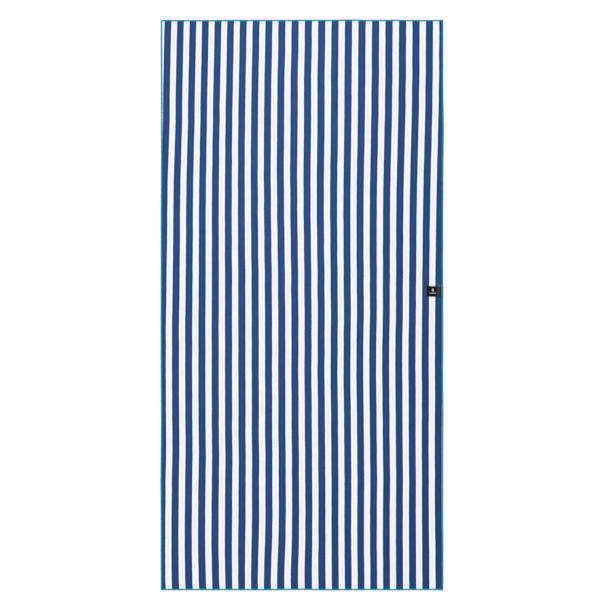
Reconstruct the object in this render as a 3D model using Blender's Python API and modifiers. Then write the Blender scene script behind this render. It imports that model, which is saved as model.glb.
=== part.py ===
"""A beach towel laid flat, face up.

One length of thin printed cloth, an overlocked thread edging on each of its four sides, and a
short woven tape folded once with its ends caught in the right edging.

Metres, +Z up. X runs across the towel, Y along its length. The origin is under the towel's
middle, on the surface that it lies on.
"""

from math import asin, cos, floor, pi, radians, sin

import bmesh
import bpy
from mathutils import Vector

MM = 0.001

# Overall size, outside the edging
TOWEL_WIDTH = 792 * MM
TOWEL_LENGTH = 1600 * MM

# Cloth
CLOTH_THICK = 1.5 * MM
PRESSED_THICK = 0.6 * MM  # where the edging's threads hold it flat
CLOTH_INSET = 1.0 * MM  # from the outline to the cut edge
PRESSED_SLOPE = 3.0 * MM  # width over which it comes back to its full thickness

# Edging: a thread band that wraps the cut edge, C-shaped in section
EDGING_WIDTH = 4.2 * MM
EDGING_HEIGHT = 2.0 * MM
EDGING_WALL = 0.4 * MM
EDGING_NOSE_STEPS = 4

# Label: a tape folded at its inner end
LABEL_WIDTH = 29 * MM
LABEL_REACH = 47.5 * MM  # from the outline to the fold
LABEL_CENTRE_Y = 38.8 * MM
LABEL_THICK = 0.4 * MM
LABEL_END_INSET = 1.5 * MM  # from the outline to its caught ends
LABEL_CROWN = 0.5 * MM  # how far its top layer springs up at mid length
LABEL_FREE_STEPS = 8
LABEL_CROSS_STEPS = 4

CLEARANCE = 0.3 * MM
TIGHTEST_BEND = 0.3 * MM

# Corner radius at the outline. The edging turns one corner in a curve and starts afresh at the rest.
CORNER_RADIUS = {
    "bottom_left": 1.2 * MM,
    "bottom_right": 1.2 * MM,
    "top_right": 1.2 * MM,
    "top_left": 4.5 * MM,
}
CORNER_SIGN = {
    "bottom_left": (-1, -1),
    "bottom_right": (1, -1),
    "top_right": (1, 1),
    "top_left": (-1, 1),
}
TURN_STEPS = 4

# The four sides in anticlockwise order, so that the cloth lies on the left of each.
SIDES = (
    # side, from corner, to corner, straight pieces
    ("bottom", "bottom_left", "bottom_right", 32),
    ("right", "bottom_right", "top_right", 64),
    ("top", "top_right", "top_left", 32),
    ("left", "top_left", "bottom_left", 64),
)

# How far each side lies outside its mean line, in mm, at equal steps between its corners.
LONG_SIDES_WANDER = (
    # left, right, from the bottom corner up
    (0.0, 0.0),
    (0.3, 0.2),
    (0.2, -0.3),
    (0.8, -0.2),
    (-0.1, -0.1),
    (-0.6, 0.3),
    (0.1, -0.5),
    (0.4, 0.0),
    (0.3, -0.3),
    (0.1, -0.5),
    (0.1, -0.3),
    (-0.2, 0.0),
    (-0.8, 0.4),
    (-0.5, 1.4),
    (-0.4, -0.1),
    (0.1, -0.1),
    (0.0, 0.0),
)
END_SIDES_WANDER = (
    # bottom, top, from the left corner across
    (0.0, 0.0),
    (-0.1, -0.5),
    (0.1, -0.5),
    (-0.1, -0.1),
    (0.3, 0.0),
    (0.0, 0.1),
    (-0.6, 0.2),
    (0.3, 0.0),
    (0.3, 1.0),
    (-0.2, -0.1),
    (0.3, 0.2),
    (-0.3, -0.3),
    (0.0, 0.0),
)
WANDER = {
    "left": [row[0] for row in LONG_SIDES_WANDER],
    "right": [row[1] for row in LONG_SIDES_WANDER],
    "bottom": [row[0] for row in END_SIDES_WANDER],
    "top": [row[1] for row in END_SIDES_WANDER],
}
READ_BACKWARDS = ("top", "left")  # these sides run towards their table's first row

# The label's layers under the edging: cloth, lower layer, upper layer, edging, a clearance apart
PRESSED_MIDDLE = EDGING_HEIGHT / 2
LABEL_LOWER_CAUGHT = PRESSED_MIDDLE + PRESSED_THICK / 2 + CLEARANCE + LABEL_THICK / 2
LABEL_LOWER_FREE = CLOTH_THICK + CLEARANCE + LABEL_THICK / 2
LAYER_STEP = LABEL_THICK + CLEARANCE
LUMP_HEIGHT = 2 * LAYER_STEP  # what the label adds to the edging's height
LUMP_RAMP = 6 * MM  # along the edging, on each side of the label
LUMP_RAMP_STEPS = 3

# Colours as linear red, green, blue
PRINT_BLUE = (0.024, 0.065, 0.181)
THREAD_TEAL = (0.010, 0.136, 0.223)
TAPE_BLACK = (0.010, 0.010, 0.011)


def clear_scene():
    for old in list(bpy.data.objects):
        bpy.data.objects.remove(old, do_unlink=True)


def fabric(name, colour, roughness):
    material = bpy.data.materials.new(name)
    material.use_nodes = True
    shader = material.node_tree.nodes["Principled BSDF"]
    shader.inputs["Base Color"].default_value = (*colour, 1)
    shader.inputs["Roughness"].default_value = roughness
    shader.inputs["Metallic"].default_value = 0
    return material


def eased(share):
    """0 to 1 with level ends."""
    return (1 - cos(pi * min(max(share, 0), 1))) / 2


def smooth_through(values, share):
    """The height at a share of the way along a smooth curve through evenly spaced values."""
    place = min(max(share, 0), 1) * (len(values) - 1)
    row = min(floor(place), len(values) - 2)
    part = place - row
    before, here, after, beyond = (
        values[min(max(row + step, 0), len(values) - 1)] for step in (-1, 0, 1, 2)
    )
    slope_here = (after - before) / 2
    slope_after = (beyond - here) / 2
    rise = after - here
    return (
        here
        + slope_here * part
        + (3 * rise - 2 * slope_here - slope_after) * part**2
        + (slope_here + slope_after - 2 * rise) * part**3
    )


def corner_turn(radius, inset, trim):
    """Half of a corner's turn as (along, inward) pairs, from its mitre to the straight side."""
    bend = max(radius - inset, TIGHTEST_BEND)
    centre = inset + bend
    first = radians(225) + asin(trim / bend)
    last = radians(270)
    angles = [first + (last - first) * step / TURN_STEPS for step in range(TURN_STEPS + 1)]
    return [(centre + bend * cos(angle), centre + bend * sin(angle)) for angle in angles]


def side_places(side, length, pieces):
    """Distances along a side where its line has a point, closer together over the label's lump."""
    places = {length * step / pieces for step in range(1, pieces)}
    if side == "right":
        middle = TOWEL_LENGTH / 2 + LABEL_CENTRE_Y
        for step in range(LUMP_RAMP_STEPS + 1):
            reach = LABEL_WIDTH / 2 + CLEARANCE + LUMP_RAMP * step / LUMP_RAMP_STEPS
            places |= {middle - reach, middle + reach}
    return sorted(places)


def lump_at(side, place):
    """Height that the caught label adds to the edging at this distance along its side."""
    if side != "right":
        return 0
    middle = TOWEL_LENGTH / 2 + LABEL_CENTRE_Y
    beyond = abs(place - middle) - LABEL_WIDTH / 2 - CLEARANCE
    return LUMP_HEIGHT * (1 - eased(beyond / LUMP_RAMP))


def corner_place(corner):
    across, along = CORNER_SIGN[corner]
    return Vector((across * TOWEL_WIDTH / 2, along * TOWEL_LENGTH / 2, 0))


def side_line(side_row, inset, trim=0.0):
    """One side's line at an inset from the outline, as (point, distance along the side) pairs."""
    side, from_corner, to_corner, pieces = side_row
    start, end = corner_place(from_corner), corner_place(to_corner)
    length = (end - start).length
    along = (end - start) / length
    inward = Vector((-along.y, along.x, 0))
    pairs = corner_turn(CORNER_RADIUS[from_corner], inset, trim)
    for place in side_places(side, length, pieces):
        share = place / length
        if side in READ_BACKWARDS:
            share = 1 - share
        pairs.append((place, inset - smooth_through(WANDER[side], share) * MM))
    last_turn = corner_turn(CORNER_RADIUS[to_corner], inset, trim)
    pairs += [(length - place, depth) for place, depth in reversed(last_turn)]
    return [(start + along * place + inward * depth, place) for place, depth in pairs]


def closed_loop(inset, height):
    """The whole outline at an inset and a height, with no point given twice."""
    points = []
    for side_row in SIDES:
        points += [point for point, _ in side_line(side_row, inset)[:-1]]
    return [Vector((point.x, point.y, height)) for point in points]


def add_object(name, bm, material, collection, parent):
    mesh = bpy.data.meshes.new(name)
    bm.to_mesh(mesh)
    bm.free()
    mesh.materials.append(material)
    piece = bpy.data.objects.new(name, mesh)
    collection.objects.link(piece)
    piece.parent = parent
    return piece


def add_thickness(piece, thickness):
    solidify = piece.modifiers.new("thickness", "SOLIDIFY")
    solidify.thickness = thickness
    solidify.offset = 0
    return solidify


def surface_through(lines):
    """An open surface whose grid lines run through lines of points that lie side by side.

    It is shaded smooth, with a sharp edge all round.
    """
    bm = bmesh.new()
    bmesh.ops.create_grid(bm, x_segments=len(lines[0]) - 1, y_segments=len(lines) - 1, size=1)
    places = [place for line in lines for place in line]
    for vert, place in zip(bm.verts, places):
        vert.co = place
    for face in bm.faces:
        face.smooth = True
    for edge in bm.edges:
        edge.smooth = not edge.is_boundary
    return bm


def make_cloth(collection, parent):
    """A flat sheet, pressed thin and lifted to the edging's mid height along its cut edge."""
    cloth_middle = CLOTH_THICK / 2
    pressed_to = EDGING_WIDTH + CLEARANCE
    loops = (
        # inset, height
        (CLOTH_INSET, PRESSED_MIDDLE),
        (pressed_to, PRESSED_MIDDLE),
        (pressed_to + PRESSED_SLOPE, cloth_middle),
    )
    bm = bmesh.new()
    rings = []
    for inset, height in loops:
        verts = [bm.verts.new(place) for place in closed_loop(inset, height)]
        rings.append([bm.edges.new(pair) for pair in zip(verts, verts[1:] + verts[:1])])
    for outer, inner in zip(rings, rings[1:]):
        bmesh.ops.bridge_loops(bm, edges=outer + inner)
    bmesh.ops.contextual_create(bm, geom=rings[-1])
    bmesh.ops.recalc_face_normals(bm, faces=bm.faces)
    innermost = range(2 * len(verts), 3 * len(verts))
    printed = fabric("printed microfibre", PRINT_BLUE, 0.85)
    cloth = add_object("towel_cloth", bm, printed, collection, parent)
    full = cloth.vertex_groups.new(name="full thickness")
    full.add(innermost, 1, "REPLACE")
    solidify = add_thickness(cloth, CLOTH_THICK)
    solidify.vertex_group = full.name
    solidify.thickness_vertex_group = PRESSED_THICK / CLOTH_THICK


def edging_profile():
    """The edging's section as (inset, height) pairs through its wall: rim, round nose, rim."""
    nose = EDGING_HEIGHT / 2
    mid_radius = nose - EDGING_WALL / 2
    turns = [radians(270 - 180 * step / EDGING_NOSE_STEPS) for step in range(EDGING_NOSE_STEPS + 1)]
    round_nose = [(nose + mid_radius * cos(turn), nose + mid_radius * sin(turn)) for turn in turns]
    bottom_rim = (EDGING_WIDTH, EDGING_WALL / 2)
    top_rim = (EDGING_WIDTH, EDGING_HEIGHT - EDGING_WALL / 2)
    return [bottom_rim, *round_nose, top_rim]


def make_edging(side_row, thread, collection, parent):
    side = side_row[0]
    lowest = EDGING_WALL / 2
    span = EDGING_HEIGHT - EDGING_WALL
    lines = []
    for inset, height in edging_profile():
        up = (height - lowest) / span
        lines.append([
            Vector((point.x, point.y, height + up * lump_at(side, place)))
            for point, place in side_line(side_row, inset, CLEARANCE / 2)
        ])
    edging = add_object("edging_" + side, surface_through(lines), thread, collection, parent)
    add_thickness(edging, EDGING_WALL)


def label_path():
    """The tape's middle line as (reach, height) pairs: from its lower end in, round the fold and back.

    Reach is measured inward from the outline.
    """
    caught_to = EDGING_WIDTH + CLEARANCE
    free_from = caught_to + PRESSED_SLOPE
    fold_radius = LAYER_STEP / 2
    fold_at = LABEL_REACH - LABEL_THICK / 2 - fold_radius
    lower = [(LABEL_END_INSET, LABEL_LOWER_CAUGHT), (caught_to, LABEL_LOWER_CAUGHT)]
    upper = [(reach, height + LAYER_STEP) for reach, height in lower]
    for step in range(LABEL_FREE_STEPS + 1):
        share = step / LABEL_FREE_STEPS
        reach = free_from + (fold_at - free_from) * share
        crown = LABEL_CROWN * sin(pi * share) ** 2
        lower.append((reach, LABEL_LOWER_FREE))
        upper.append((reach, LABEL_LOWER_FREE + LAYER_STEP + crown))
    fold = [
        (fold_at + fold_radius * sin(turn), LABEL_LOWER_FREE + fold_radius * (1 - cos(turn)))
        for turn in (radians(45), radians(90), radians(135))
    ]
    return lower + fold + upper[::-1]


def make_label(collection, parent):
    lines = []
    for step in range(LABEL_CROSS_STEPS + 1):
        y = LABEL_CENTRE_Y + LABEL_WIDTH * (step / LABEL_CROSS_STEPS - 0.5)
        lines.append([Vector((TOWEL_WIDTH / 2 - reach, y, height)) for reach, height in label_path()])
    tape = fabric("woven tape", TAPE_BLACK, 0.6)
    label = add_object("side_label", surface_through(lines), tape, collection, parent)
    add_thickness(label, LABEL_THICK)


def main():
    clear_scene()
    collection = bpy.data.collections.new("beach_towel")
    bpy.context.scene.collection.children.link(collection)
    origin = bpy.data.objects.new("beach_towel_origin", None)
    collection.objects.link(origin)
    make_cloth(collection, origin)
    thread = fabric("overlock thread", THREAD_TEAL, 0.6)
    for side_row in SIDES:
        make_edging(side_row, thread, collection, origin)
    make_label(collection, origin)


main()
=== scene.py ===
"""A beach towel laid flat, face up: its looks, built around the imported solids.

Metres, +Z up, in the solids' own frame. X runs across the stripes and Y along them. The origin is
under the towel's middle, on the surface that it lies on.
"""

from collections import namedtuple
from math import cos, exp, floor, pi, radians, sin, sqrt

import bmesh
import bpy
from mathutils import Matrix, Vector, noise


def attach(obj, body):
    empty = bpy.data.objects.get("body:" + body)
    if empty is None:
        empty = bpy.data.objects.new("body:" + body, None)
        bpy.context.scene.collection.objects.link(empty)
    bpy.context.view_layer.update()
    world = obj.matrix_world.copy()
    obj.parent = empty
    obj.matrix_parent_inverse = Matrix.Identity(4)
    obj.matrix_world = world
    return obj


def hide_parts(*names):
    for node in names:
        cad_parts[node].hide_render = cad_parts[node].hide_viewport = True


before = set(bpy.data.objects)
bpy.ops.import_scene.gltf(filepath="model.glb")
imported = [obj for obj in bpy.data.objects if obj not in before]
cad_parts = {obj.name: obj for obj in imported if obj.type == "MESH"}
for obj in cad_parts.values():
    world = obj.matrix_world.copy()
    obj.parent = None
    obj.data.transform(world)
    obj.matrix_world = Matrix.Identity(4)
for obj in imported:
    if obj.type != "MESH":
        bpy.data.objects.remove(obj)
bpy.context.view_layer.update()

MM = 0.001

# ---------------------------------------------------------------- sizes, as the solids have them

TOWEL_WIDTH = 792 * MM
TOWEL_LENGTH = 1600 * MM

CORNER_RADIUS = {
    "bottom_left": 1.2 * MM,
    "bottom_right": 1.2 * MM,
    "top_right": 1.2 * MM,
    "top_left": 4.5 * MM,
}
CORNER_SIGN = {
    "bottom_left": (-1, -1),
    "bottom_right": (1, -1),
    "top_right": (1, 1),
    "top_left": (-1, 1),
}
# The four sides in anticlockwise order, so that the cloth lies on the left of each.
SIDE_CORNERS = {
    "bottom": ("bottom_left", "bottom_right"),
    "right": ("bottom_right", "top_right"),
    "top": ("top_right", "top_left"),
    "left": ("top_left", "bottom_left"),
}
READ_BACKWARDS = ("top", "left")  # these sides run towards their table's first row

# How far each side lies outside its mean line, in mm, at equal steps between its corners.
LONG_SIDES_WANDER = (
    # left, right, from the bottom corner up
    (0.0, 0.0),
    (0.3, 0.2),
    (0.2, -0.3),
    (0.8, -0.2),
    (-0.1, -0.1),
    (-0.6, 0.3),
    (0.1, -0.5),
    (0.4, 0.0),
    (0.3, -0.3),
    (0.1, -0.5),
    (0.1, -0.3),
    (-0.2, 0.0),
    (-0.8, 0.4),
    (-0.5, 1.4),
    (-0.4, -0.1),
    (0.1, -0.1),
    (0.0, 0.0),
)
END_SIDES_WANDER = (
    # bottom, top, from the left corner across
    (0.0, 0.0),
    (-0.1, -0.5),
    (0.1, -0.5),
    (-0.1, -0.1),
    (0.3, 0.0),
    (0.0, 0.1),
    (-0.6, 0.2),
    (0.3, 0.0),
    (0.3, 1.0),
    (-0.2, -0.1),
    (0.3, 0.2),
    (-0.3, -0.3),
    (0.0, 0.0),
)
WANDER = {
    "left": [row[0] for row in LONG_SIDES_WANDER],
    "right": [row[1] for row in LONG_SIDES_WANDER],
    "bottom": [row[0] for row in END_SIDES_WANDER],
    "top": [row[1] for row in END_SIDES_WANDER],
}
WANDER_REACH = 60 * MM  # how far into the cloth a side's wander is felt

CLOTH_THICK = 1.5 * MM
PRESSED_THICK = 0.6 * MM
CLOTH_INSET = 1.0 * MM  # from the outline to the cut edge
PRESSED_MIDDLE = 1.0 * MM  # height of the cut edge's middle, inside the edging
PRESSED_SLOPE = 7 * MM  # from the cut edge to where the cloth is back to its full thickness

LABEL_WIDTH = 29 * MM
LABEL_REACH = 48.1 * MM  # from the outline to the fold
LABEL_CENTRE_Y = 38.8 * MM
LABEL_THICK = 0.4 * MM
LABEL_END_INSET = 1.5 * MM
LABEL_CAUGHT_HEIGHTS = (1.8 * MM, 2.5 * MM)  # its two layers' middles, inside the edging
LUMP_HEIGHT = 1.4 * MM  # what the caught label adds to the edging's height
LUMP_RAMP = 6 * MM

# ---------------------------------------------------------------- how the cloth lies

# Low swells all over, and short ripples along the edging, where its threads draw the cloth in
SWELL_HEIGHT = 3.0 * MM
SWELL_SPAN = (150 * MM, 210 * MM)
SWELL_FROM_EDGE = 80 * MM
RIPPLE_HEIGHT = 0.9 * MM
RIPPLE_SPAN = 32 * MM
RIPPLE_REACH = 26 * MM

EDGE_LINES = (0, 1.2, 2.4, 3.6, 5.0, 7.0, 10.0)  # the grid's lines next to the cut edge, in mm
GRID_STEP = 6.7 * MM

# How far the stripes lie to the right of true, in mm, at equal steps from the bottom end up.
STRIPE_SWAY = (
    # left edge, left, left of middle, right of middle, right, right edge
    (-5.0, -1.5, -5.0, 1.5, -2.0, -2.5),
    (-5.0, -3.5, -0.5, 1.0, -3.0, -4.0),
    (-4.0, -2.0, 0.5, 0.5, -2.5, -5.0),
    (-3.0, -2.5, -0.5, -0.5, -3.5, -4.5),
    (-4.0, -3.0, -1.0, -1.5, -4.5, -4.0),
    (-2.5, -3.0, -1.5, -1.0, -2.5, -3.5),
    (0.0, -2.5, -2.5, -2.5, -2.5, -2.0),
    (1.5, -2.5, -4.5, -3.0, -1.5, 1.0),
    (7.0, -0.5, -4.5, -1.0, 2.0, 4.5),
    (9.5, 2.0, -2.5, -0.5, 4.0, 7.5),
    (12.5, 5.0, 0.0, 1.5, 5.0, 8.0),
)
SWAY_ACROSS = 800 * MM  # from its first column to its last
SWAY_ALONG = 1600 * MM

# Smaller wavers, which neighbouring stripes share
WAVER = 0.75 * MM
WAVER_SPAN = (230 * MM, 75 * MM)

# The level at which each cuts through the noise, so that none follows another
SWELL_LEVEL = 3.1
RIPPLE_LEVEL = 8.3
WAVER_LEVEL = 5.7

# How far the sewing machine's foot dragged each end's cut edge to the right, in mm
END_DRAG = {
    # at the left side, at the right side
    "bottom": (1.8, -0.3),
    "top": (1.0, -0.6),
}
DRAG_REACH = 12 * MM

STRIPE_REPEAT = 36.93 * MM  # one blue stripe and one white
BLUE_WIDTH = 19.4 * MM
BLUE_MIDDLE = -351.4 * MM  # the middle of the first whole blue stripe

# ---------------------------------------------------------------- the overlock seam

STITCH = 2.2 * MM
NEEDLE_INSET = 3.8 * MM  # from the outline to the needle's line
CORNER_SQUEEZE = 0.8  # how closely the stitches at a corner share the last needle holes
SEAM_TOP = 1.95 * MM  # the highest that the threads reach where no label lies under them
THREAD_SIDES = 4
NEARLY_UPRIGHT = 0.1  # a thread whose direction is less level than this counts as upright

# One stitch of each thread, which the next stitch's first row carries on. The loopers' thread is
# textured: it spreads flat where it lies on the cloth and is pulled round where it turns.
UPPER_LOOPER = (
    # along in stitches, inset, height, width, thickness, the last four in mm
    (0.00, 3.75, 1.40, 0.44, 0.36),
    (0.12, 3.05, 1.72, 0.66, 0.38),
    (0.23, 1.60, 1.80, 1.00, 0.40),
    (0.31, 0.30, 1.55, 1.12, 0.44),
    (0.39, 0.00, 1.28, 1.00, 0.52),
    (0.50, -0.10, 1.00, 0.85, 0.60),
    (0.61, 0.00, 1.28, 1.00, 0.52),
    (0.69, 0.30, 1.55, 1.12, 0.44),
    (0.77, 1.60, 1.80, 1.00, 0.40),
    (0.88, 3.05, 1.72, 0.66, 0.38),
)
LOWER_LOOPER = (
    # the same columns
    (0.00, -0.10, 1.00, 0.85, 0.60),
    (0.11, 0.00, 0.72, 1.00, 0.52),
    (0.19, 0.30, 0.45, 1.12, 0.44),
    (0.32, 1.60, 0.32, 1.00, 0.40),
    (0.50, 3.70, 0.42, 0.66, 0.40),
    (0.68, 1.60, 0.32, 1.00, 0.40),
    (0.81, 0.30, 0.45, 1.12, 0.44),
    (0.89, 0.00, 0.72, 1.00, 0.52),
)
NEEDLE_THREAD = (
    # the same columns
    (0.00, 3.80, 1.30, 0.44, 0.36),
    (0.25, 3.80, 1.66, 0.44, 0.36),
    (0.75, 3.80, 1.66, 0.44, 0.36),
)
FIBRE_BUNDLES = 5  # round the thread
TWISTS = 3  # turns of the bundles in one stitch
STRAY = 0.16 * MM  # how far a thread strays from its even place
STRAY_SPAN = 3.1 * MM
STRAY_LEVELS_APART = 10.0  # in the noise, from one side to the next
STRAY_INWARD_LEVEL = 4  # added to a side's level for straying inward

SEAM_MITRE = radians(45)
SEAM_GAP = 0.15 * MM  # between a corner's mitre and the first stitch
MERGE = 0.01 * MM

# The chain of thread left where the seam ran off the cloth, at the bottom right corner
TAIL_OUT = 3.6 * MM
TAIL_HELD = 3 * MM  # how much of it lies under the seam
TAIL_INSET = 2.0 * MM
TAIL_LEAN = 0.9 * MM  # how far its free end lies to the left of where it starts
TAIL_DROP = 0.2 * MM  # how far its free end lies below where it starts
TAIL_STRANDS = 3
TAIL_SHORTER = 0.5 * MM  # each strand than the one before
TAIL_THREAD = 0.66 * MM
TAIL_TWIST = 0.3 * MM
TAIL_TURNS = 1.25
TAIL_STEPS = 24
TAIL_SIDES = 8

# ---------------------------------------------------------------- the label

# From the outline: where its layers leave the edging, and where they have come down to the cloth
LABEL_CAUGHT_TO = 5 * MM
LABEL_FREE_FROM = 8 * MM

LABEL_GAP = 0.05 * MM  # between it and the cloth
LAYERS_GAP = 0.1 * MM  # between its two layers next to the seam
LABEL_STEPS = 12
LABEL_ACROSS = 10
LABEL_CROWN = 0.6 * MM
LABEL_BOW = 0.7 * MM  # how far its middle sags towards the bottom end
LABEL_CURL = 0.25 * MM
LABEL_SKEW = 1.7 * MM  # how far its lower layer shows past the upper one at the seam
SKEW_REACH = 24 * MM
FOLD_RADIUS = 0.45 * MM
FOLD_STEPS = 8

# Where the tape has painted highlights, at the fold also a stretched weave, as distances from a
# middle
FOLD_HIGHLIGHT = (0.6 * MM, 2.4 * MM)  # out from the fold
BEND_MIDDLE = 11.4 * MM  # from its caught ends
BEND_HIGHLIGHT = (0.5 * MM, 7.6 * MM)
SEWN_MIDDLE = 3.0 * MM  # from its caught ends
SEWN_HIGHLIGHT = (0.4 * MM, 1.3 * MM)

# Its plain mark, as distance from the upper caught end and distance across the tape
LOZENGE_MIDDLE = (27.5 * MM, 18.5 * MM)
LOZENGE_HALF = (3.4 * MM, 5.0 * MM)
BAR_MIDDLE = (27.5 * MM, 9.5 * MM)
BAR_HALF = (9.0 * MM, 0.9 * MM)

# ---------------------------------------------------------------- the picture

PICTURE_SHARE = 0.9422  # of the picture's side that the towel's length takes up
TOWEL_LEFT_OF_MIDDLE = 1.4 * MM
TOWEL_BELOW_MIDDLE = 7.0 * MM
LENS_MM = 85
SENSOR_MM = 36
CAMERA_REACH = 100  # in metres, past the far side of the floor

FLOOR_SIZE = 60
FLOOR_STEPS = 60
COVE_FROM = 10  # metres from the towel to where the floor begins to curve up
COVE_HEIGHT = 8

ROOM_LIGHT = 0.80
SOFTBOX_FROM = (-2.4, 2.6, 3.4)
SOFTBOX_SPREAD = 30  # in degrees, as seen from the towel
SOFTBOX_STRENGTH = 1.45

# ---------------------------------------------------------------- finishes

# The print's colours as (under least painted light, under most): a stripe's middle, and its
# border, where there is most dye and the white next to it looks cleanest.
BLUE_CORE = ("1E3C6B", "2D4C7E")
BLUE_BORDER = ("183259", "264270")
WHITE_CORE = ("E2E3E8", "E7E8EE")
WHITE_BORDER = ("E8ECF3", "EBEFF7")
BLUE_BLED = "7892C4"  # where little dye has reached: past the border and on the reverse

# Painted light: lightest at the middle of the top end, darker with distance from a place beyond it.
PAINTED_LIGHT_AT = (0.01, 0.96, 0)
PAINTED_LIGHT_REACH = (0.77, 2.6, 1)  # the distances over which the painted light fades
PAINTED_LIGHT_TURN = radians(-9)

# Distances from a stripe's border, positive away from the blue
DYE_THINS = (-0.4 * MM, 0.1 * MM)
DYE_GONE = (0.1 * MM, 0.8 * MM)
BORDER_TO_CORE = (2.2 * MM, 5.5 * MM)  # on either side

# How far the border strays, in long wavers and from fibre to fibre
BORDER_WAVER = 0.5 * MM
BORDER_WAVER_SPAN = 30 * MM
FRAY = 0.7 * MM
FRAY_SPAN = 0.5 * MM

# The brushed nap, with painted highlight and shade on its tufts and patches
PATCH_SPAN = 22 * MM
TUFT_WIDTH = 0.4 * MM
TUFT_LENGTH = 0.9 * MM
PATCH_SHARE = 0.2  # how much of a tuft's light and shade a patch has
BLUE_NAP_SHADING = 0.7  # how much painted highlight and shade the blue's tufts get, against their tone
WHITE_NAP_SHADING = 0.16
NAP_BLOOM = "DCE6F5"

# The reverse sets in where the surface turns from looking up a little to looking down a little.
REVERSE_TURN = (0.1, -0.1)
REVERSE_FADE = 0.5  # how far its blue has gone to that of little dye

THREAD_TONES = ("0094B1", "04AECB")
DYE_LOT_SPAN = 5 * MM
# Painted shade in the grooves between the thread's fibres
THREAD_GROOVE_SHADE_TONE = "006E88"
GROOVE_SHADE = 0.35  # how much of that painted shade the middle of a groove has

TAPE_BLACK = "0E0F0F"
TAPE_FOLD_HIGHLIGHT = "454A52"
TAPE_BEND_HIGHLIGHT = "39363A"
TAPE_SEWN_HIGHLIGHT = "66777E"
TAPE_BACK = "6E7688"
BACK_FROM = (0.2 * MM, 1.0 * MM)  # past the fold, where the back's tone sets in
TAPE_MARK = "BCBCC2"
MARK_BORDER = (1.03, 0.97)  # where it sets in and is whole, as shares of its half
MARK_STRENGTH = 0.9
WEFT_PITCH = 0.45 * MM
WARP_PITCH = 0.7 * MM

FLOOR_TONE = "F8F8F8"

Side = namedtuple("Side", "name start along inward length radii")


def eased(share):
    """0 to 1 with level ends."""
    return (1 - cos(pi * min(max(share, 0), 1))) / 2


def smooth_through(values, share):
    """The height at a share of the way along a smooth curve through evenly spaced values."""
    place = min(max(share, 0), 1) * (len(values) - 1)
    row = min(floor(place), len(values) - 2)
    part = place - row
    before, here, after, beyond = (
        values[min(max(row + step, 0), len(values) - 1)] for step in (-1, 0, 1, 2)
    )
    slope_here = (after - before) / 2
    slope_after = (beyond - here) / 2
    rise = after - here
    return (
        here
        + slope_here * part
        + (3 * rise - 2 * slope_here - slope_after) * part**2
        + (slope_here + slope_after - 2 * rise) * part**3
    )


def corner_place(corner):
    """Where the mean lines of two sides meet."""
    across, along = CORNER_SIGN[corner]
    return Vector((across * TOWEL_WIDTH / 2, along * TOWEL_LENGTH / 2, 0))


def read_side(name):
    """A side's mean line, and the radii of the corners that it runs from and to."""
    from_corner, to_corner = SIDE_CORNERS[name]
    start, end = corner_place(from_corner), corner_place(to_corner)
    length = (end - start).length
    along = (end - start) / length
    inward = Vector((-along.y, along.x, 0))
    radii = (CORNER_RADIUS[from_corner], CORNER_RADIUS[to_corner])
    return Side(name, start, along, inward, length, radii)


def wander(name, share):
    """How far a side lies outside its mean line, at a share of the way along it."""
    if name in READ_BACKWARDS:
        share = 1 - share
    return smooth_through(WANDER[name], share) * MM


def lift_at(x, y):
    """How far the cloth stands off the floor at a place, through its swells and ripples."""
    from_edge = max(min(TOWEL_WIDTH / 2 - abs(x), TOWEL_LENGTH / 2 - abs(y)), 0)
    swell = 0.5 + 0.5 * noise.noise(Vector((x / SWELL_SPAN[0], y / SWELL_SPAN[1], SWELL_LEVEL)))
    ripple = 0.5 + 0.5 * noise.noise(Vector((x / RIPPLE_SPAN, y / RIPPLE_SPAN, RIPPLE_LEVEL)))
    return (
        SWELL_HEIGHT * swell * eased(from_edge / SWELL_FROM_EDGE)
        + RIPPLE_HEIGHT * ripple * exp(-from_edge / RIPPLE_REACH)
    )


def lump_at(name, place):
    """Height that the caught label adds to the edging at this distance along its side."""
    if name != "right":
        return 0
    middle = TOWEL_LENGTH / 2 + LABEL_CENTRE_Y
    beyond = abs(place - middle) - LABEL_WIDTH / 2
    return LUMP_HEIGHT * (1 - eased(beyond / LUMP_RAMP))


# ---------------------------------------------------------------- materials


def colour(code):
    """A linear colour with alpha from an sRGB hex value."""
    parts = [int(code[at : at + 2], 16) / 255 for at in (0, 2, 4)]
    return (*(p / 12.92 if p <= 0.04045 else ((p + 0.055) / 1.055) ** 2.4 for p in parts), 1)


def new_material(name):
    """A material with its node tree and its shader."""
    material = bpy.data.materials.new(name)
    material.use_nodes = True
    return material, material.node_tree, material.node_tree.nodes["Principled BSDF"]


def add_node(tree, kind, inputs=None, **settings):
    """Adds a node with its settings. Each of its inputs is a value, or another's output to link.

    A Mix of colours has its share on socket 0, its colours on 6 and 7, and its result on 2.
    """
    node = tree.nodes.new("ShaderNode" + kind)
    for name, value in settings.items():
        setattr(node, name, value)
    for socket, value in (inputs or {}).items():
        if isinstance(value, bpy.types.NodeSocket):
            tree.links.new(value, node.inputs[socket])
        else:
            node.inputs[socket].default_value = value
    return node


def finish_shader(tree, shader, base_colour, normal, **values):
    """Links a shader's colour and normal, and sets what is the same all over the surface."""
    tree.links.new(base_colour, shader.inputs["Base Color"])
    tree.links.new(normal, shader.inputs["Normal"])
    for name, value in values.items():
        shader.inputs[name.replace("_", " ")].default_value = value


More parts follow.
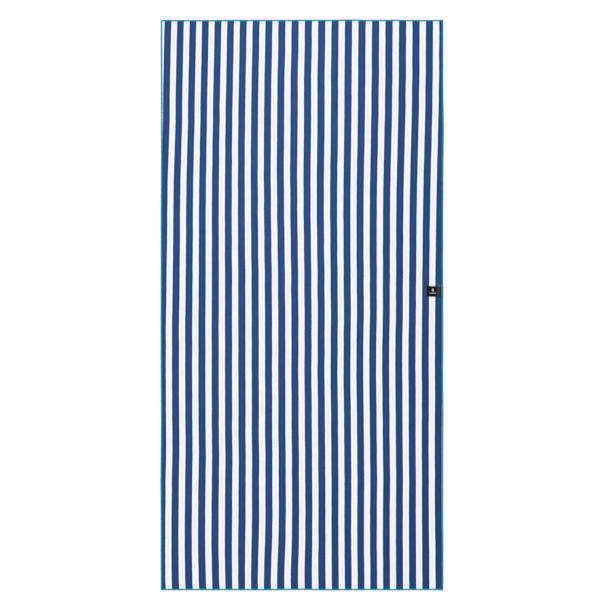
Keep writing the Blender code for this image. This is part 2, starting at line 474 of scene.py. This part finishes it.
def stripe_borders(tree, surface, across):
    """Where a place lies from its stripe's border.

    Gives how far it has come from the border to the stripe's core, how thin the dye is there, and
    how bare the cloth is.
    """
    from_first = add_node(tree, "Math", {0: across, 1: BLUE_MIDDLE}, operation="SUBTRACT")
    from_middle = add_node(
        tree, "Math", {0: from_first.outputs[0], 1: STRIPE_REPEAT / 2}, operation="PINGPONG"
    )
    past_border = add_node(
        tree, "Math", {0: from_middle.outputs[0], 1: BLUE_WIDTH / 2}, operation="SUBTRACT"
    )

    # The stripe grows and shrinks a little, as the cloth did under the printing rollers, and its
    # border follows the nap's fibres, which are 0.1 mm apart and drawn 0.5 mm apart to show.
    moved = past_border.outputs[0]
    places = []
    for span, most, detail in ((BORDER_WAVER_SPAN, BORDER_WAVER, 1.0), (FRAY_SPAN, FRAY, 2.0)):
        pattern = add_node(
            tree, "TexNoise", {"Vector": surface, "Scale": 1 / span, "Detail": detail}
        )
        shift = add_node(
            tree, "MapRange", {"Value": pattern.outputs["Fac"], "To Min": -most, "To Max": most}
        )
        moved = add_node(tree, "Math", {0: moved, 1: shift.outputs[0]}, operation="ADD").outputs[0]
        places.append(moved)
    wavered, frayed = places

    off_border = add_node(tree, "Math", {0: wavered}, operation="ABSOLUTE")
    return [
        add_node(
            tree,
            "MapRange",
            {"Value": place, "From Min": start, "From Max": end},
            interpolation_type="SMOOTHSTEP",
        ).outputs[0]
        for place, (start, end) in (
            (off_border.outputs[0], BORDER_TO_CORE),
            (frayed, DYE_THINS),
            (frayed, DYE_GONE),
        )
    ]


def print_tones(tree, surface, inside):
    """The blue and the white of the print, each from its stripe's border to its core, under painted
    light.
    """
    from_most_painted_light = add_node(
        tree,
        "Mapping",
        {
            "Vector": surface,
            "Location": PAINTED_LIGHT_AT,
            "Rotation": (0, 0, PAINTED_LIGHT_TURN),
            "Scale": PAINTED_LIGHT_REACH,
        },
        vector_type="TEXTURE",
    )
    # Painted light: the print is lighter towards the top end.
    painted_light = add_node(
        tree, "TexGradient", {"Vector": from_most_painted_light.outputs[0]}, gradient_type="SPHERICAL"
    )
    tones = []
    for stripe in ((BLUE_BORDER, BLUE_CORE), (WHITE_BORDER, WHITE_CORE)):
        border, core = (
            add_node(
                tree,
                "Mix",
                {0: painted_light.outputs["Fac"], 6: colour(least_lit), 7: colour(most_lit)},
                data_type="RGBA",
            ).outputs[2]
            for least_lit, most_lit in stripe
        )
        tone = add_node(tree, "Mix", {0: inside, 6: border, 7: core}, data_type="RGBA")
        tones.append(tone.outputs[2])
    return tones


def suede_nap(tree, surface):
    """The nap's patches, which lie this way and that as where a hand has passed, and its tufts.

    Tufts are finer than 0.1 mm. They are drawn 0.4 mm wide and 0.9 mm long, the way they are
    brushed.
    """
    patches = add_node(
        tree, "TexNoise", {"Vector": surface, "Scale": 1 / PATCH_SPAN, "Detail": 4.0}
    )
    brushed_way = add_node(
        tree,
        "Mapping",
        {"Vector": surface, "Scale": (1 / TUFT_WIDTH, 1 / TUFT_LENGTH, 1 / TUFT_WIDTH)},
    )
    tufts = add_node(
        tree, "TexNoise", {"Vector": brushed_way.outputs[0], "Scale": 1.0, "Detail": 3.0}
    )
    return patches.outputs["Fac"], tufts.outputs["Fac"]


def printed_microfibre():
    """Polyester microfibre with a brushed suede face, printed with dye in lengthwise stripes.

    The eye gets a soft, even, matt colour with next to no shine and a faint bloom at a slant,
    crisp stripes that are deepest along their borders, and painted light that makes the print a
    little paler towards the top end.
    """
    material, tree, shader = new_material("printed suede microfibre")
    coordinates = add_node(tree, "TexCoord")
    surface = coordinates.outputs["Object"]
    across = add_node(tree, "SeparateXYZ", {0: coordinates.outputs["UV"]}).outputs["X"]
    inside, dye_thin, bare = stripe_borders(tree, surface, across)
    patches, tufts = suede_nap(tree, surface)

    # Each tuft catches the light or lies in its neighbour's shade, as painted highlight and shade.
    # Blue ones differ more, because the dye leaves a fibre's tip paler than its root and painted
    # sheen on the tips shows most against the blue.
    nap_shaded = []
    for tone, shade in zip(print_tones(tree, surface, inside), (BLUE_NAP_SHADING, WHITE_NAP_SHADING)):
        for pattern, share in ((patches, PATCH_SHARE), (tufts, 1.0)):
            most = shade * share
            strength = add_node(
                tree, "MapRange", {"Value": pattern, "To Min": 1 - most, "To Max": 1 + most}
            )
            tone = add_node(
                tree, "VectorMath", {0: tone, "Scale": strength.outputs[0]}, operation="SCALE"
            ).outputs[0]
        nap_shaded.append(tone)
    dyed, undyed = nap_shaded

    # The dye goes in from the face, so the reverse shows a paler print.
    upward = add_node(tree, "SeparateXYZ", {0: coordinates.outputs["Normal"]}).outputs["Z"]
    face, back = REVERSE_TURN
    reverse = add_node(
        tree,
        "MapRange",
        {"Value": upward, "From Min": face, "From Max": back, "To Max": REVERSE_FADE},
    )
    for paler in (reverse.outputs[0], dye_thin):
        dyed = add_node(
            tree, "Mix", {0: paler, 6: dyed, 7: colour(BLUE_BLED)}, data_type="RGBA"
        ).outputs[2]
    stripes = add_node(tree, "Mix", {0: bare, 6: dyed, 7: undyed}, data_type="RGBA")

    tufted = add_node(tree, "Bump", {"Height": tufts, "Strength": 0.6, "Distance": 0.2 * MM})
    brushed = add_node(
        tree,
        "Bump",
        {
            "Height": patches,
            "Strength": 0.3,
            "Distance": 0.6 * MM,
            "Normal": tufted.outputs[0],
        },
    )
    finish_shader(
        tree,
        shader,
        stripes.outputs[2],
        brushed.outputs[0],
        Roughness=0.9,
        Specular_IOR_Level=0.1,
        Sheen_Weight=0.12,
        Sheen_Roughness=0.5,
        Sheen_Tint=colour(NAP_BLOOM),
    )
    return material


def overlock_thread():
    """Textured polyester thread, dyed teal and lightly twisted.

    The eye gets a bright, slightly silky thread with fine slanting grooves between its fibres,
    darkened with painted shade.
    """
    material, tree, shader = new_material("textured polyester thread")
    coordinates = add_node(tree, "TexCoord")
    on_thread = add_node(tree, "SeparateXYZ", {0: coordinates.outputs["UV"]})
    # Its fibres lie in bundles, each a wave round the thread that winds along it. Real ones are
    # 0.1 mm wide. To show, they are drawn up to 0.4 mm wide on the loopers' threads.
    along, around = on_thread.outputs["X"], on_thread.outputs["Y"]
    turn = add_node(tree, "Math", {0: along, 1: around}, operation="ADD").outputs[0]
    wave = add_node(tree, "Math", {0: turn, 1: 2 * FIBRE_BUNDLES * pi}, operation="MULTIPLY")
    groove = add_node(tree, "Math", {0: wave.outputs[0]}, operation="SINE")
    groove_shading = add_node(
        tree, "MapRange", {"Value": groove.outputs[0], "From Min": -1.0, "To Max": GROOVE_SHADE}
    )
    dye_lot = add_node(
        tree,
        "TexNoise",
        {"Vector": coordinates.outputs["Object"], "Scale": 1 / DYE_LOT_SPAN, "Detail": 2.0},
    )
    teal = add_node(
        tree,
        "Mix",
        {0: dye_lot.outputs["Fac"], 6: colour(THREAD_TONES[0]), 7: colour(THREAD_TONES[1])},
        data_type="RGBA",
    )
    # Painted shade, deepest in the middle of each groove.
    groove_shaded = add_node(
        tree,
        "Mix",
        {0: groove_shading.outputs[0], 6: teal.outputs[2], 7: colour(THREAD_GROOVE_SHADE_TONE)},
        data_type="RGBA",
    )
    relief = add_node(
        tree,
        "Bump",
        {"Height": groove.outputs[0], "Strength": 0.5, "Distance": 0.05 * MM},
        invert=True,
    )
    finish_shader(
        tree,
        shader,
        groove_shaded.outputs[2],
        relief.outputs[0],
        Roughness=0.5,
        Specular_IOR_Level=0.12,
    )
    return material


def tape_mark(tree, along, across):
    """How far a place of the tape lies within its mark, a lozenge and a bar beside it."""
    # How far out it is from the middle of either, as a share of its half. A lozenge adds the two
    # ways' shares, and a bar takes the larger.
    reaches = []
    for middle, half, joined in (
        (LOZENGE_MIDDLE, LOZENGE_HALF, "ADD"),
        (BAR_MIDDLE, BAR_HALF, "MAXIMUM"),
    ):
        shares = []
        for way, at, size in zip((along, across), middle, half):
            off = add_node(tree, "Math", {0: way, 1: at}, operation="SUBTRACT")
            far = add_node(tree, "Math", {0: off.outputs[0]}, operation="ABSOLUTE")
            share = add_node(tree, "Math", {0: far.outputs[0], 1: size}, operation="DIVIDE")
            shares.append(share.outputs[0])
        reach = add_node(tree, "Math", {0: shares[0], 1: shares[1]}, operation=joined)
        reaches.append(reach.outputs[0])
    nearest = add_node(tree, "Math", {0: reaches[0], 1: reaches[1]}, operation="MINIMUM")
    outer, inner = MARK_BORDER
    mark = add_node(
        tree,
        "MapRange",
        {
            "Value": nearest.outputs[0],
            "From Min": outer,
            "From Max": inner,
            "To Max": MARK_STRENGTH,
        },
        interpolation_type="SMOOTHSTEP",
    )
    return mark.outputs[0]


def weave_with_highlights(tree, off_fold, fold_place):
    """The tape's black, with painted highlights and a stretched fold. Both halves are alike, so the
    fold is their zero.
    """
    from_fold = add_node(tree, "Math", {0: off_fold}, operation="ABSOLUTE").outputs[0]
    tone = colour(TAPE_BLACK)
    # Painted highlights at the fold, the bend and the stitches; at the fold partly a stretched
    # weave
    for middle, (most_lit, black), highlight_tone in (
        (0, FOLD_HIGHLIGHT, TAPE_FOLD_HIGHLIGHT),
        (fold_place - BEND_MIDDLE, BEND_HIGHLIGHT, TAPE_BEND_HIGHLIGHT),
        (fold_place - SEWN_MIDDLE, SEWN_HIGHLIGHT, TAPE_SEWN_HIGHLIGHT),
    ):
        off = add_node(tree, "Math", {0: from_fold, 1: middle}, operation="SUBTRACT")
        away = add_node(tree, "Math", {0: off.outputs[0]}, operation="ABSOLUTE")
        highlight_share = add_node(
            tree,
            "MapRange",
            {"Value": away.outputs[0], "From Min": black, "From Max": most_lit},
            interpolation_type="SMOOTHSTEP",
        )
        tone = add_node(
            tree, "Mix", {0: highlight_share.outputs[0], 6: tone, 7: colour(highlight_tone)}, data_type="RGBA"
        ).outputs[2]
    return tone


def woven_tape(fold_place):
    """Polyester label tape, woven in black with a plain mark in pale grey thread.

    The eye gets a deep, slightly satiny black with fine ribs across the tape. It has painted
    highlights at the fold, where it bends up to the seam, and along the stitches, and at the fold
    its weave is also stretched paler. Its back, where the pale thread floats, is grey.
    """
    material, tree, shader = new_material("woven polyester tape")
    coordinates = add_node(tree, "TexCoord")
    on_tape = add_node(tree, "SeparateXYZ", {0: coordinates.outputs["UV"]})
    along, across = on_tape.outputs["X"], on_tape.outputs["Y"]
    off_fold = add_node(tree, "Math", {0: along, 1: fold_place}, operation="SUBTRACT").outputs[0]
    black = weave_with_highlights(tree, off_fold, fold_place)
    mark = tape_mark(tree, along, across)
    marked = add_node(tree, "Mix", {0: mark, 6: black, 7: colour(TAPE_MARK)}, data_type="RGBA")

    # Before the fold the tape's back looks down, and past it up.
    upward = add_node(tree, "SeparateXYZ", {0: coordinates.outputs["Normal"]}).outputs["Z"]
    turned = add_node(tree, "Math", {0: off_fold, 1: upward}, operation="MULTIPLY")
    start, end = BACK_FROM
    back = add_node(
        tree, "MapRange", {"Value": turned.outputs[0], "From Min": start, "From Max": end}
    )
    woven = add_node(
        tree,
        "Mix",
        {0: back.outputs[0], 6: marked.outputs[2], 7: colour(TAPE_BACK)},
        data_type="RGBA",
    )

    # The weft's ribs are 0.2 mm apart and drawn 0.45 mm apart, and the warp's 0.7 mm.
    waves = []
    for way, pitch in ((along, WEFT_PITCH), (across, WARP_PITCH)):
        place = add_node(tree, "Math", {0: way, 1: 2 * pi / pitch}, operation="MULTIPLY")
        waves.append(add_node(tree, "Math", {0: place.outputs[0]}, operation="SINE").outputs[0])
    weave = add_node(tree, "Math", {0: waves[0], 1: waves[1]}, operation="MULTIPLY")
    relief = add_node(
        tree, "Bump", {"Height": weave.outputs[0], "Strength": 0.4, "Distance": 0.06 * MM}
    )
    finish_shader(
        tree,
        shader,
        woven.outputs[2],
        relief.outputs[0],
        Roughness=0.6,
        Specular_IOR_Level=0.1,
    )
    return material


def floor_paint():
    """White emulsion paint on a smooth floor: an even, matt, pale ground for soft shadows."""
    material, _, shader = new_material("white emulsion paint")
    shader.inputs["Base Color"].default_value = colour(FLOOR_TONE)
    shader.inputs["Roughness"].default_value = 0.9
    shader.inputs["Specular IOR Level"].default_value = 0.0
    return material


# ---------------------------------------------------------------- pieces


def make_object(name, bm, material):
    """Makes a bmesh a smooth object of the scene."""
    for face in bm.faces:
        face.smooth = True
    mesh = bpy.data.meshes.new(name)
    bm.to_mesh(mesh)
    bm.free()
    mesh.materials.append(material)
    made = bpy.data.objects.new(name, mesh)
    bpy.context.scene.collection.objects.link(made)
    return made


def add_piece(name, bm, material, slot, *nodes):
    """Makes a bmesh a piece of the towel that stands for the named solids."""
    piece = make_object(name, bm, material)
    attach(piece, "root")
    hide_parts(*nodes)
    return piece


def lay_map(bm, name, places):
    """Adds a UV map on which each vertex, by its index, lies at its place."""
    uv = bm.loops.layers.uv.new(name)
    for face in bm.faces:
        for loop in face.loops:
            loop[uv].uv = places[loop.vert.index]


def thicken(piece, thickness):
    """Gives a sheet its thickness, half on each side of its middle."""
    solidify = piece.modifiers.new("thickness", "SOLIDIFY")
    solidify.thickness = thickness
    solidify.offset = 0
    return solidify


def grid_lines(length):
    """Distances of the cloth's grid lines from a side's outline, closer next to the cut edges."""
    edge = [CLOTH_INSET + line * MM for line in EDGE_LINES]
    open_cloth = length - 2 * edge[-1]
    steps = round(open_cloth / GRID_STEP)
    middle = [edge[-1] + open_cloth * step / steps for step in range(1, steps)]
    return edge + middle + [length - line for line in reversed(edge)]


def rounded_corner(x, y):
    """A place of the cloth moved in where it would stand out past a rounded corner."""
    for corner, (across, along) in CORNER_SIGN.items():
        radius = CORNER_RADIUS[corner]
        centre = corner_place(corner) - Vector((across * radius, along * radius, 0))
        out = Vector(((x - centre.x) * across, (y - centre.y) * along))
        if min(out) > 0:
            out *= max(out) / out.length
            return centre.x + out.x * across, centre.y + out.y * along
    return x, y


def sway_at(x, y):
    """How far the stripes lie to the right of true at a place."""
    share = x / SWAY_ACROSS + 0.5
    rows = [smooth_through(row, share) for row in STRIPE_SWAY]
    sway = smooth_through(rows, y / SWAY_ALONG + 0.5)
    for end, from_end in (("bottom", TOWEL_LENGTH / 2 + y), ("top", TOWEL_LENGTH / 2 - y)):
        at_left, at_right = END_DRAG[end]
        sway += (at_left + (at_right - at_left) * share) * exp(-max(from_end, 0) / DRAG_REACH)
    waver = WAVER * noise.noise(Vector((x / WAVER_SPAN[0], y / WAVER_SPAN[1], WAVER_LEVEL)))
    return sway * MM + waver


def make_cloth():
    """The cloth as a grid, thin and lifted at its cut edge, its print laid along the stripes."""
    across, along = grid_lines(TOWEL_WIDTH), grid_lines(TOWEL_LENGTH)
    bm = bmesh.new()
    bmesh.ops.create_grid(bm, x_segments=len(across) - 1, y_segments=len(along) - 1, size=1)
    bm.verts.ensure_lookup_table()
    fullness, print_places = [], []
    for index, vert in enumerate(bm.verts):
        from_left, from_bottom = across[index % len(across)], along[index // len(across)]
        x, y = rounded_corner(from_left - TOWEL_WIDTH / 2, from_bottom - TOWEL_LENGTH / 2)
        # For each side: how far in from it this is, which way is out, and how far along it this is
        sides = {
            "left": (from_left, -1, 0, 1 - from_bottom / TOWEL_LENGTH),
            "right": (TOWEL_WIDTH - from_left, 1, 0, from_bottom / TOWEL_LENGTH),
            "bottom": (from_bottom, 0, -1, from_left / TOWEL_WIDTH),
            "top": (TOWEL_LENGTH - from_bottom, 0, 1, 1 - from_left / TOWEL_WIDTH),
        }
        for side, (inset, out_x, out_y, share) in sides.items():
            pull = wander(side, share) * (1 - eased(inset / WANDER_REACH))
            x, y = x + out_x * pull, y + out_y * pull
        inset = min(row[0] for row in sides.values()) - CLOTH_INSET
        full = eased(inset / PRESSED_SLOPE)
        middle = PRESSED_MIDDLE + (CLOTH_THICK / 2 - PRESSED_MIDDLE) * full
        vert.co = (x, y, middle + lift_at(x, y))
        fullness.append(full)
        print_places.append((x - sway_at(x, y), y))
    lay_map(bm, "print", print_places)
    cloth = add_piece("printed_cloth", bm, printed_microfibre(), "cloth", "towel_cloth")
    group = cloth.vertex_groups.new(name="full thickness")
    for index, full in enumerate(fullness):
        group.add([index], full, "REPLACE")
    solidify = thicken(cloth, CLOTH_THICK)
    solidify.vertex_group = group.name
    solidify.thickness_vertex_group = PRESSED_THICK / CLOTH_THICK
    return cloth


def ring_frame(before, here, after, width, thickness):
    """A matrix that lays a unit circle across a thread at a point of its path."""
    tangent = (after - before).normalized()
    level = tangent.cross(Vector((0, 0, 1)))
    level = level.normalized() if level.length > NEARLY_UPRIGHT else Vector((1, 0, 0))
    upright = level.cross(tangent)
    columns = (level * width / 2, upright * thickness / 2, tangent * thickness / 2, here)
    return Matrix([[column[row] for column in columns] for row in range(3)] + [[0, 0, 0, 1]])


def add_thread(bm, path, breadths, turns, sides=THREAD_SIDES):
    """Adds a tube of thread along a path, open at its ends, as wide and thick as breadths says.

    Its UV map counts the turns of its fibres along it, and one turn round it.
    """
    around = [path[0], *path, path[-1]]
    rings = [ring_frame(*around[at : at + 3], *breadth) for at, breadth in enumerate(breadths)]
    uv = bm.loops.layers.uv.verify()
    verts = bmesh.ops.create_grid(
        bm, x_segments=len(path) - 1, y_segments=sides, size=1, calc_uvs=True
    )["verts"]
    for index, vert in enumerate(verts):
        row, at = divmod(index, len(path))
        angle = 2 * pi * row / sides
        vert.co = rings[at] @ Vector((cos(angle), sin(angle), 0))
        for loop in vert.link_loops:
            loop[uv].uv.x *= turns
    bmesh.ops.remove_doubles(bm, verts=verts, dist=MERGE)


def close_ends(bm):
    """Closes the ends of its threads, none of which has more sides than the chain's."""
    open_edges = [edge for edge in bm.edges if edge.is_boundary]
    bmesh.ops.holes_fill(bm, edges=open_edges, sides=TAIL_SIDES)


def stitch_row(count, pitch):
    """A straight row of stitches along X, its needle line and its edge at their insets in Y."""
    bm = bmesh.new()
    for stitch in (UPPER_LOOPER, LOWER_LOOPER, NEEDLE_THREAD):
        rows = [(made + along, *rest) for made in range(count) for along, *rest in stitch]
        rows.append((count, *stitch[0][1:]))
        path = [
            Vector((along * pitch, inset * MM, height * MM)) for along, inset, height, _, _ in rows
        ]
        breadths = [(width * MM, thickness * MM) for _, _, _, width, thickness in rows]
        add_thread(bm, path, breadths, turns=TWISTS * count)
    close_ends(bm)
    return bm


def seam_place(side, place, inset, height):
    """Where a point of the seam lies, from its distance along the side, its inset and its height.

    Near a corner the stitches fan out from the needle line's own corner.
    """
    from_last = place > side.length / 2
    radius = side.radii[from_last]
    to_corner = side.length - place if from_last else place
    rounded_off = 0
    if to_corner < radius:
        rounded_off = radius - sqrt(max(radius**2 - (radius - to_corner) ** 2, 0))
    share = inset / NEEDLE_INSET
    to_corner += CORNER_SQUEEZE * max(NEEDLE_INSET - to_corner, 0) * share
    depth = inset + rounded_off * (1 - share) - wander(side.name, place / side.length)
    along = side.length - to_corner if from_last else to_corner
    point = side.start + side.along * along + side.inward * depth
    up = max(height / SEAM_TOP, 0)
    point.z = height + up * lump_at(side.name, place) + lift_at(point.x, point.y)
    return point


def make_edging(name, material):
    """One side's overlock seam: two looper threads locked at the cut edge, and a needle thread."""
    side = read_side(name)
    starts = [radius * (1 - sin(SEAM_MITRE)) + SEAM_GAP for radius in side.radii]
    room = side.length - sum(starts)
    count = round(room / STITCH)
    bm = stitch_row(count, room / count)
    level = STRAY_LEVELS_APART * list(SIDE_CORNERS).index(name)
    for vert in bm.verts:
        along, inset, height = vert.co
        at = along / STRAY_SPAN
        along += STRAY * noise.noise(Vector((at, level, inset / STRAY_SPAN)))
        inward = Vector((at, level + STRAY_INWARD_LEVEL, height / STRAY_SPAN))
        inset += STRAY * noise.noise(inward)
        vert.co = seam_place(side, starts[0] + along, inset, height)
    return add_piece("overlock_" + name, bm, material, "edging_thread", "edging_" + name)


def make_tail(material):
    """The short chain of twisted threads where the seam ran off the cloth."""
    bm = bmesh.new()
    corner = corner_place("bottom_right")
    for strand in range(TAIL_STRANDS):
        path = []
        for step in range(TAIL_STEPS + 1):
            share = step / TAIL_STEPS
            turn = 2 * pi * (share * TAIL_TURNS + strand / TAIL_STRANDS)
            spread = TAIL_TWIST * (1 + share**4)
            length = TAIL_HELD + TAIL_OUT - TAIL_SHORTER * strand
            x = corner.x - TAIL_INSET - TAIL_LEAN * share**2 + spread * cos(turn)
            y = corner.y + TAIL_HELD - length * share
            z = PRESSED_MIDDLE - TAIL_DROP * share + spread * sin(turn)
            path.append(Vector((x, y, z)))
        breadths = [(TAIL_THREAD, TAIL_THREAD)] * len(path)
        add_thread(bm, path, breadths, turns=TWISTS, sides=TAIL_SIDES)
    close_ends(bm)
    return add_piece("seam_tail", bm, material, "edging_thread")


def tape_path():
    """The label tape's middle line as (reach, height) pairs, from its upper caught end in and back.

    Reach is measured inward from the outline, and height from the floor below the cloth.
    """
    lower_caught, upper_caught = LABEL_CAUGHT_HEIGHTS
    resting = CLOTH_THICK + LABEL_THICK / 2 + LABEL_GAP
    layers_apart = LABEL_THICK + LAYERS_GAP
    fold_at = LABEL_REACH - LABEL_THICK / 2 - FOLD_RADIUS
    upper = [(LABEL_END_INSET, upper_caught), (LABEL_CAUGHT_TO, upper_caught)]
    lower = [(LABEL_END_INSET, lower_caught), (LABEL_CAUGHT_TO, lower_caught)]
    for step in range(LABEL_STEPS + 1):
        share = step / LABEL_STEPS
        reach = LABEL_FREE_FROM + (fold_at - LABEL_FREE_FROM) * share
        crown = LABEL_CROWN * sin(pi * share) ** 2
        opening = layers_apart + (2 * FOLD_RADIUS - layers_apart) * share**2
        lower.append((reach, resting))
        upper.append((reach, resting + opening + crown))
    fold = []
    for step in range(1, FOLD_STEPS):
        turn = pi * step / FOLD_STEPS
        fold.append(
            (fold_at + FOLD_RADIUS * sin(turn), resting + FOLD_RADIUS * (1 + cos(turn)))
        )
    return upper + fold + lower[::-1]


def make_label():
    """The tape, folded once, with both of its ends under the right-hand seam."""
    path = [Vector(pair) for pair in tape_path()]
    lengths = [0.0]
    for here, after in zip(path, path[1:]):
        lengths.append(lengths[-1] + (after - here).length)
    bm = bmesh.new()
    bmesh.ops.create_grid(bm, x_segments=len(path) - 1, y_segments=LABEL_ACROSS, size=1)
    bm.verts.ensure_lookup_table()
    places = []
    for index, vert in enumerate(bm.verts):
        row, at = divmod(index, len(path))
        share = row / LABEL_ACROSS
        reach, height = path[at]
        free = min(reach / LABEL_REACH, 1)
        x = TOWEL_WIDTH / 2 - reach
        y = LABEL_CENTRE_Y + LABEL_WIDTH * (share - 0.5) - LABEL_BOW * sin(pi * free)
        if at > len(path) / 2:  # past the fold, on the lower layer
            y += LABEL_SKEW * (1 - eased(reach / SKEW_REACH))
        curl = LABEL_CURL * free * (2 * share - 1) ** 2 * max(height - CLOTH_THICK, 0) / MM
        vert.co = (x, y, height + curl + lift_at(x, y))
        places.append((lengths[at], LABEL_WIDTH * share))
    lay_map(bm, "tape", places)
    label = add_piece("woven_label", bm, woven_tape(lengths[-1] / 2), "label_tape", "side_label")
    thicken(label, LABEL_THICK)
    return label, lengths[-1]


def make_floor():
    """A wide floor that curves up far away all round, so that no horizon shows behind the towel."""
    bm = bmesh.new()
    half = FLOOR_SIZE / 2
    bmesh.ops.create_grid(bm, x_segments=FLOOR_STEPS, y_segments=FLOOR_STEPS, size=half)
    for vert in bm.verts:
        beyond = vert.co.length - COVE_FROM
        vert.co.z = COVE_HEIGHT * eased(beyond / (half - COVE_FROM))
    make_object("floor", bm, floor_paint())


def light_studio():
    """A white room and one large, far, soft lamp to the upper left."""
    scene = bpy.context.scene
    scene.world = bpy.data.worlds.new("white room")
    scene.world.use_nodes = True
    room = scene.world.node_tree.nodes["Background"]
    room.inputs["Color"].default_value = (1, 1, 1, 1)
    room.inputs["Strength"].default_value = ROOM_LIGHT
    lamp = bpy.data.lights.new("softbox", "SUN")
    lamp.angle = radians(SOFTBOX_SPREAD)
    lamp.energy = SOFTBOX_STRENGTH
    softbox = bpy.data.objects.new("softbox", lamp)
    softbox.rotation_euler = (-Vector(SOFTBOX_FROM)).to_track_quat("-Z", "Y").to_euler()
    scene.collection.objects.link(softbox)
    scene.view_settings.view_transform = "Standard"


def place_camera():
    """Looks straight down from where the lens takes in the picture's share of the towel."""
    lens = bpy.data.cameras.new("camera")
    lens.lens = LENS_MM
    lens.sensor_width = SENSOR_MM
    lens.clip_end = CAMERA_REACH
    camera = bpy.data.objects.new("camera", lens)
    picture_side = TOWEL_LENGTH / PICTURE_SHARE
    height = picture_side * LENS_MM / SENSOR_MM + CLOTH_THICK
    camera.location = (TOWEL_LEFT_OF_MIDDLE, TOWEL_BELOW_MIDDLE, height)
    bpy.context.scene.collection.objects.link(camera)
    bpy.context.scene.camera = camera


place_camera()
light_studio()
make_floor()
cloth = make_cloth()
thread = overlock_thread()
edgings = [make_edging(name, thread) for name in SIDE_CORNERS]
tail = make_tail(thread)
label, tape_length = make_label()
